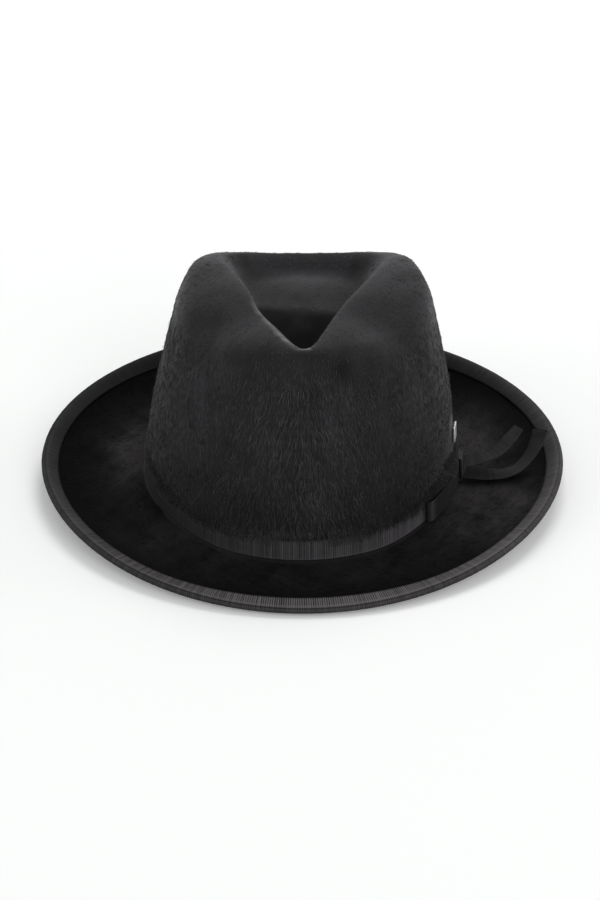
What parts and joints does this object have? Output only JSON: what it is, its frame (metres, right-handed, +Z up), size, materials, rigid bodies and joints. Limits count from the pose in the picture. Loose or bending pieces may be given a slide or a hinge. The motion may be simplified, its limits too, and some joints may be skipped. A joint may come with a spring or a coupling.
{
  "type": "fedora hat",
  "caption": "Black long-haired felt fedora: teardrop crown, curled brim with a ribbon-bound edge, narrow hat band, flat side bow with loose tails and a plain metal plate.",
  "frame": {"origin": "middle of the hat's outline, on the surface that it rests on", "axes": "+Z up, the front of the hat faces -Y, the bow is on +X, the wearer's left"},
  "size_m": [0.2902, 0.3236, 0.1179],
  "materials": {
    "felt": "long-haired fur felt, black, brushed nap",
    "binding": "ribbed ribbon, charcoal black, folded over the edge",
    "ribbon": "ribbed ribbon, charcoal black, soft sheen",
    "plate": "plain polished silver-coloured metal"
  },
  "bodies": {
    "root": {"felt_body": "felt", "brim_binding": "binding", "hat_band": "ribbon", "bow_loop": "ribbon", "bow_keeper": "ribbon", "tail_upper": "ribbon", "tail_lower": "ribbon", "side_plate": "plate"}
  },
  "joints": []
}
